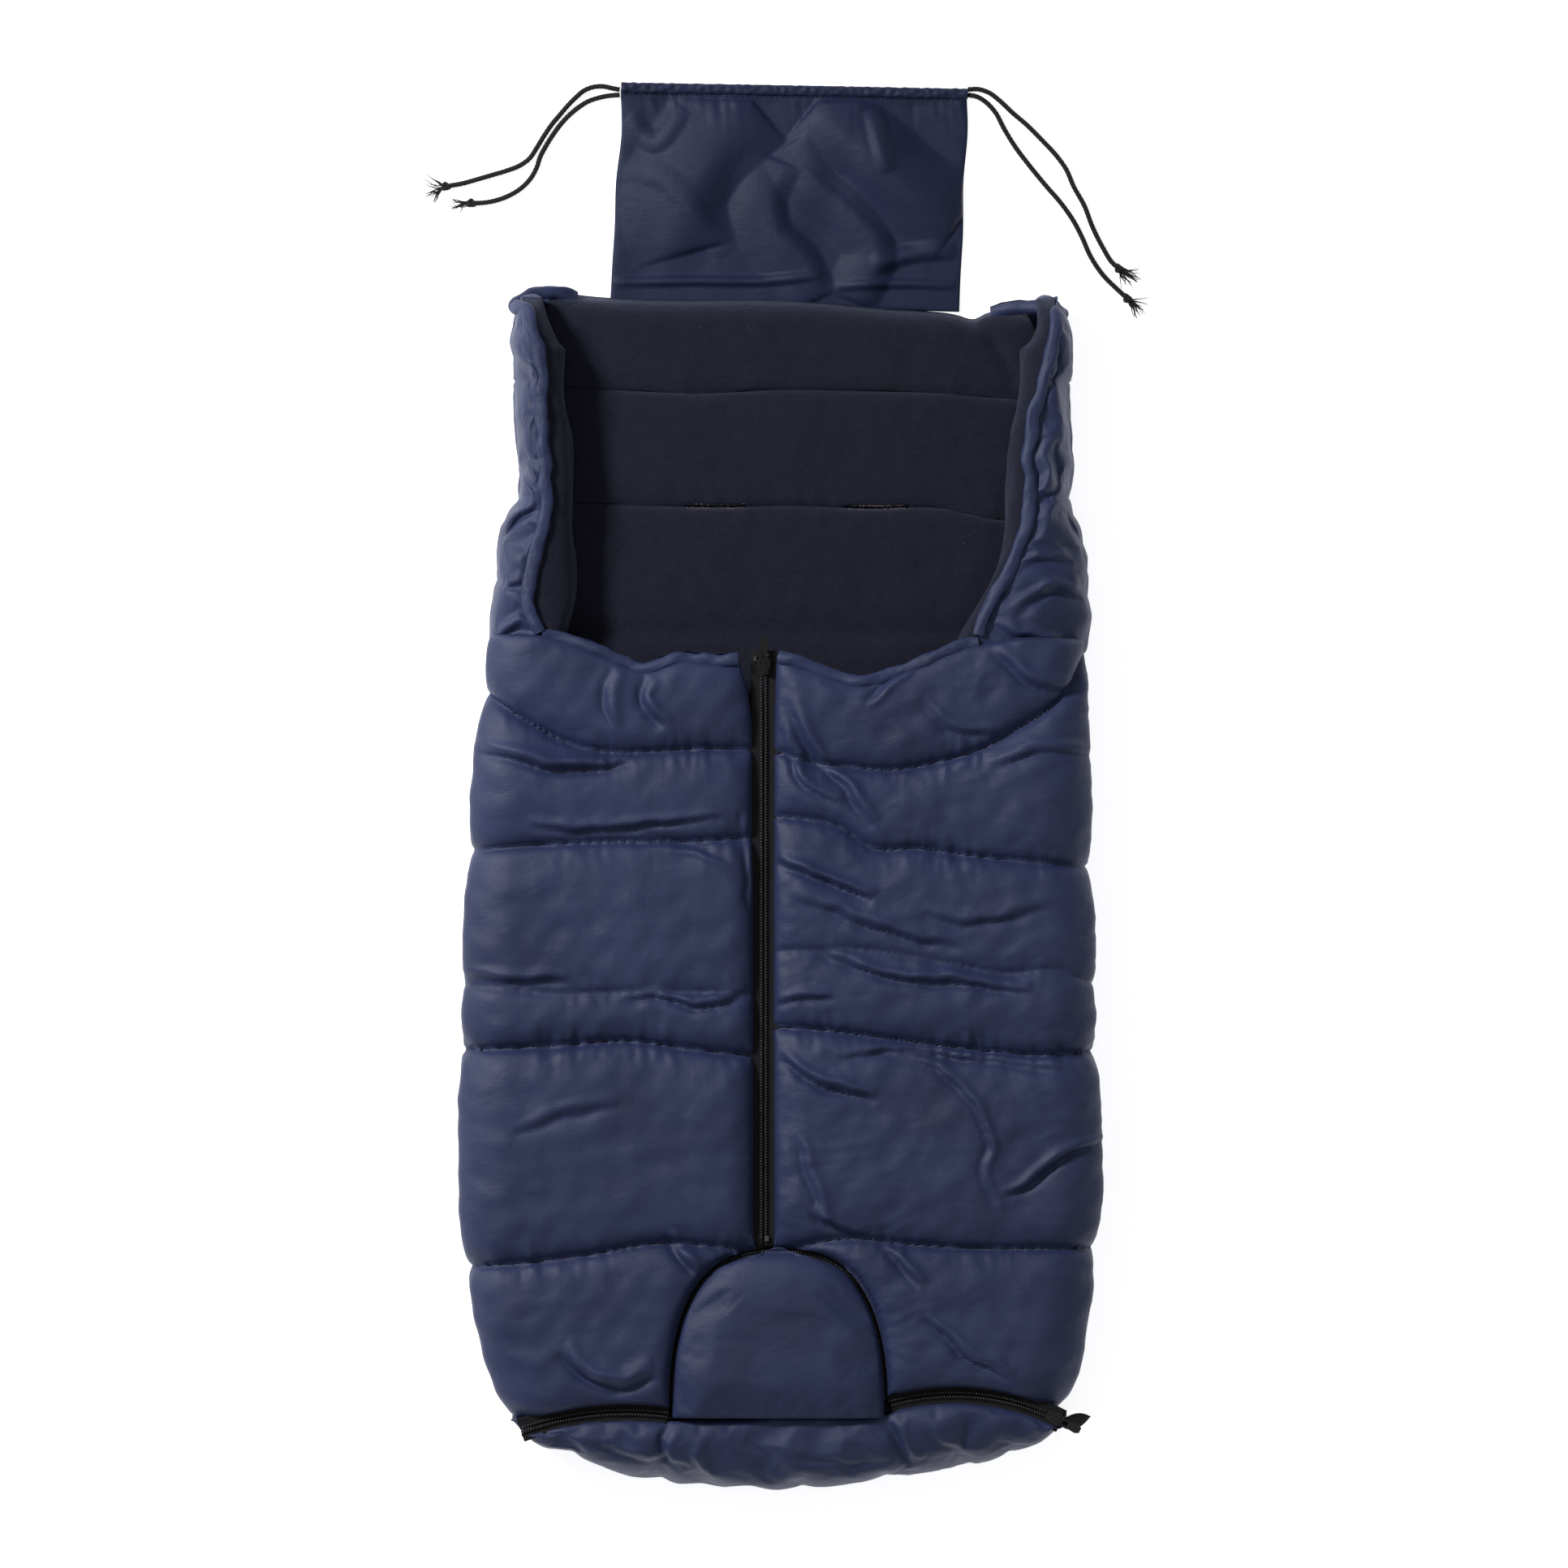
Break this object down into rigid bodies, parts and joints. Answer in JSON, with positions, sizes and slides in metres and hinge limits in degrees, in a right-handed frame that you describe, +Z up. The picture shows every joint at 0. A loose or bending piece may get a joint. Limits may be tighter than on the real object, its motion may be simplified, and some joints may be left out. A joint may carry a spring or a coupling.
{
  "type": "padded pushchair foot muff",
  "caption": "Quilted sleeping-bag foot muff for a pushchair, with a centre zip, foot zip, tongue-shaped foot flap, fleece lining, harness slots and a head flap on drawcords.",
  "frame": {"origin": "under the middle of the muff and its head flap, on the surface it lies on", "axes": "+X to the muff's right as seen from above, +Y towards the head end, +Z up out of the closed front"},
  "size_m": [0.5164, 1.0063, 0.07],
  "materials": {
    "nylon": "navy satin nylon",
    "fleece": "dark navy brushed fleece",
    "wadding": "polyester wadding",
    "zip_tape": "woven black tape",
    "zip_coil": "black nylon coil",
    "slider": "black enamel",
    "cord": "twisted black cord"
  },
  "bodies": {
    "muff": {"back_shell": "nylon", "back_padding": "wadding", "back_lining": "fleece", "harness_slot_bindings": "nylon", "left_side_shell": "nylon", "left_side_padding": "wadding", "left_side_lining": "fleece", "left_wall_binding": "nylon", "right_side_shell": "nylon", "right_side_padding": "wadding", "right_side_lining": "fleece", "right_wall_binding": "nylon", "foot_end_shell": "nylon", "foot_end_padding": "wadding", "foot_end_lining": "fleece", "foot_zip_tape_ends": "zip_tape", "foot_zip_lower_tapes": "zip_tape", "foot_zip_lower_coils": "zip_coil", "flap_seam_band": "nylon"},
    "left_front": {"left_front_shell": "nylon", "left_front_padding": "wadding", "left_front_lining": "fleece", "left_front_binding": "nylon", "centre_zip_left_tape": "zip_tape", "centre_zip_left_coil": "zip_coil", "centre_zip_left_top_stop": "zip_coil", "foot_zip_left_upper_tape": "zip_tape", "foot_zip_left_upper_coil": "zip_coil"},
    "right_front": {"right_front_shell": "nylon", "right_front_padding": "wadding", "right_front_lining": "fleece", "right_front_binding": "nylon", "centre_zip_right_tape": "zip_tape", "centre_zip_right_coil": "zip_coil", "centre_zip_right_top_stop": "zip_coil", "centre_zip_bottom_stop": "zip_coil", "foot_zip_right_upper_tape": "zip_tape", "foot_zip_right_upper_coil": "zip_coil"},
    "foot_tongue": {"tongue_shell": "nylon", "tongue_padding": "wadding", "tongue_lining": "fleece", "tongue_zip_tape": "zip_tape", "tongue_zip_coil": "zip_coil"},
    "centre_slider": {"centre_zip_slider": "slider"},
    "centre_pull": {"centre_zip_pull": "slider"},
    "foot_slider": {"foot_zip_slider": "slider"},
    "foot_pull": {"foot_zip_pull": "slider"},
    "head_flap": {"head_flap_panel": "nylon", "head_flap_hem": "nylon", "drawcords_in_hem": "cord", "cord_left_upper": "cord", "cord_left_lower": "cord", "cord_right_upper": "cord", "cord_right_lower": "cord", "knot_left_upper": "cord", "knot_left_lower": "cord", "knot_right_upper": "cord", "knot_right_lower": "cord"}
  },
  "joints": [
    {"name": "left_front_fold", "type": "hinge", "parent": "muff", "child": "left_front", "pos_m": [-0.227, 0, 0.054], "axis": [0, -1, 0], "range_deg": [0, 150]},
    {"name": "right_front_fold", "type": "hinge", "parent": "muff", "child": "right_front", "pos_m": [0.227, 0, 0.054], "axis": [0, 1, 0], "range_deg": [0, 150]},
    {"name": "tongue_fold", "type": "hinge", "parent": "muff", "child": "foot_tongue", "pos_m": [0, -0.4525, 0.07], "axis": [1, 0, 0], "range_deg": [0, 150]},
    {"name": "centre_zip_run", "type": "slide", "parent": "right_front", "child": "centre_slider", "axis": [0, -1, 0], "range_m": [0, 0.4]},
    {"name": "centre_pull_swing", "type": "hinge", "parent": "centre_slider", "child": "centre_pull", "pos_m": [-0.0115, 0.0877, 0.06], "axis": [1, 0, 0], "range_deg": [0, 178]},
    {"name": "foot_zip_run", "type": "hinge", "parent": "muff", "child": "foot_slider", "pos_m": [0.124, -0.5985, 0], "axis": [0, 0, 1], "range_deg": [0, 39]},
    {"name": "foot_pull_swing", "type": "hinge", "parent": "foot_slider", "child": "foot_pull", "pos_m": [0.19787, -0.45206, 0.06], "axis": [-0.4384, -0.8988, 0], "range_deg": [0, 178]},
    {"name": "head_flap_fold", "type": "hinge", "parent": "muff", "child": "head_flap", "pos_m": [0, 0.357, 0.001], "axis": [1, 0, 0], "range_deg": [-135, 90]}
  ]
}
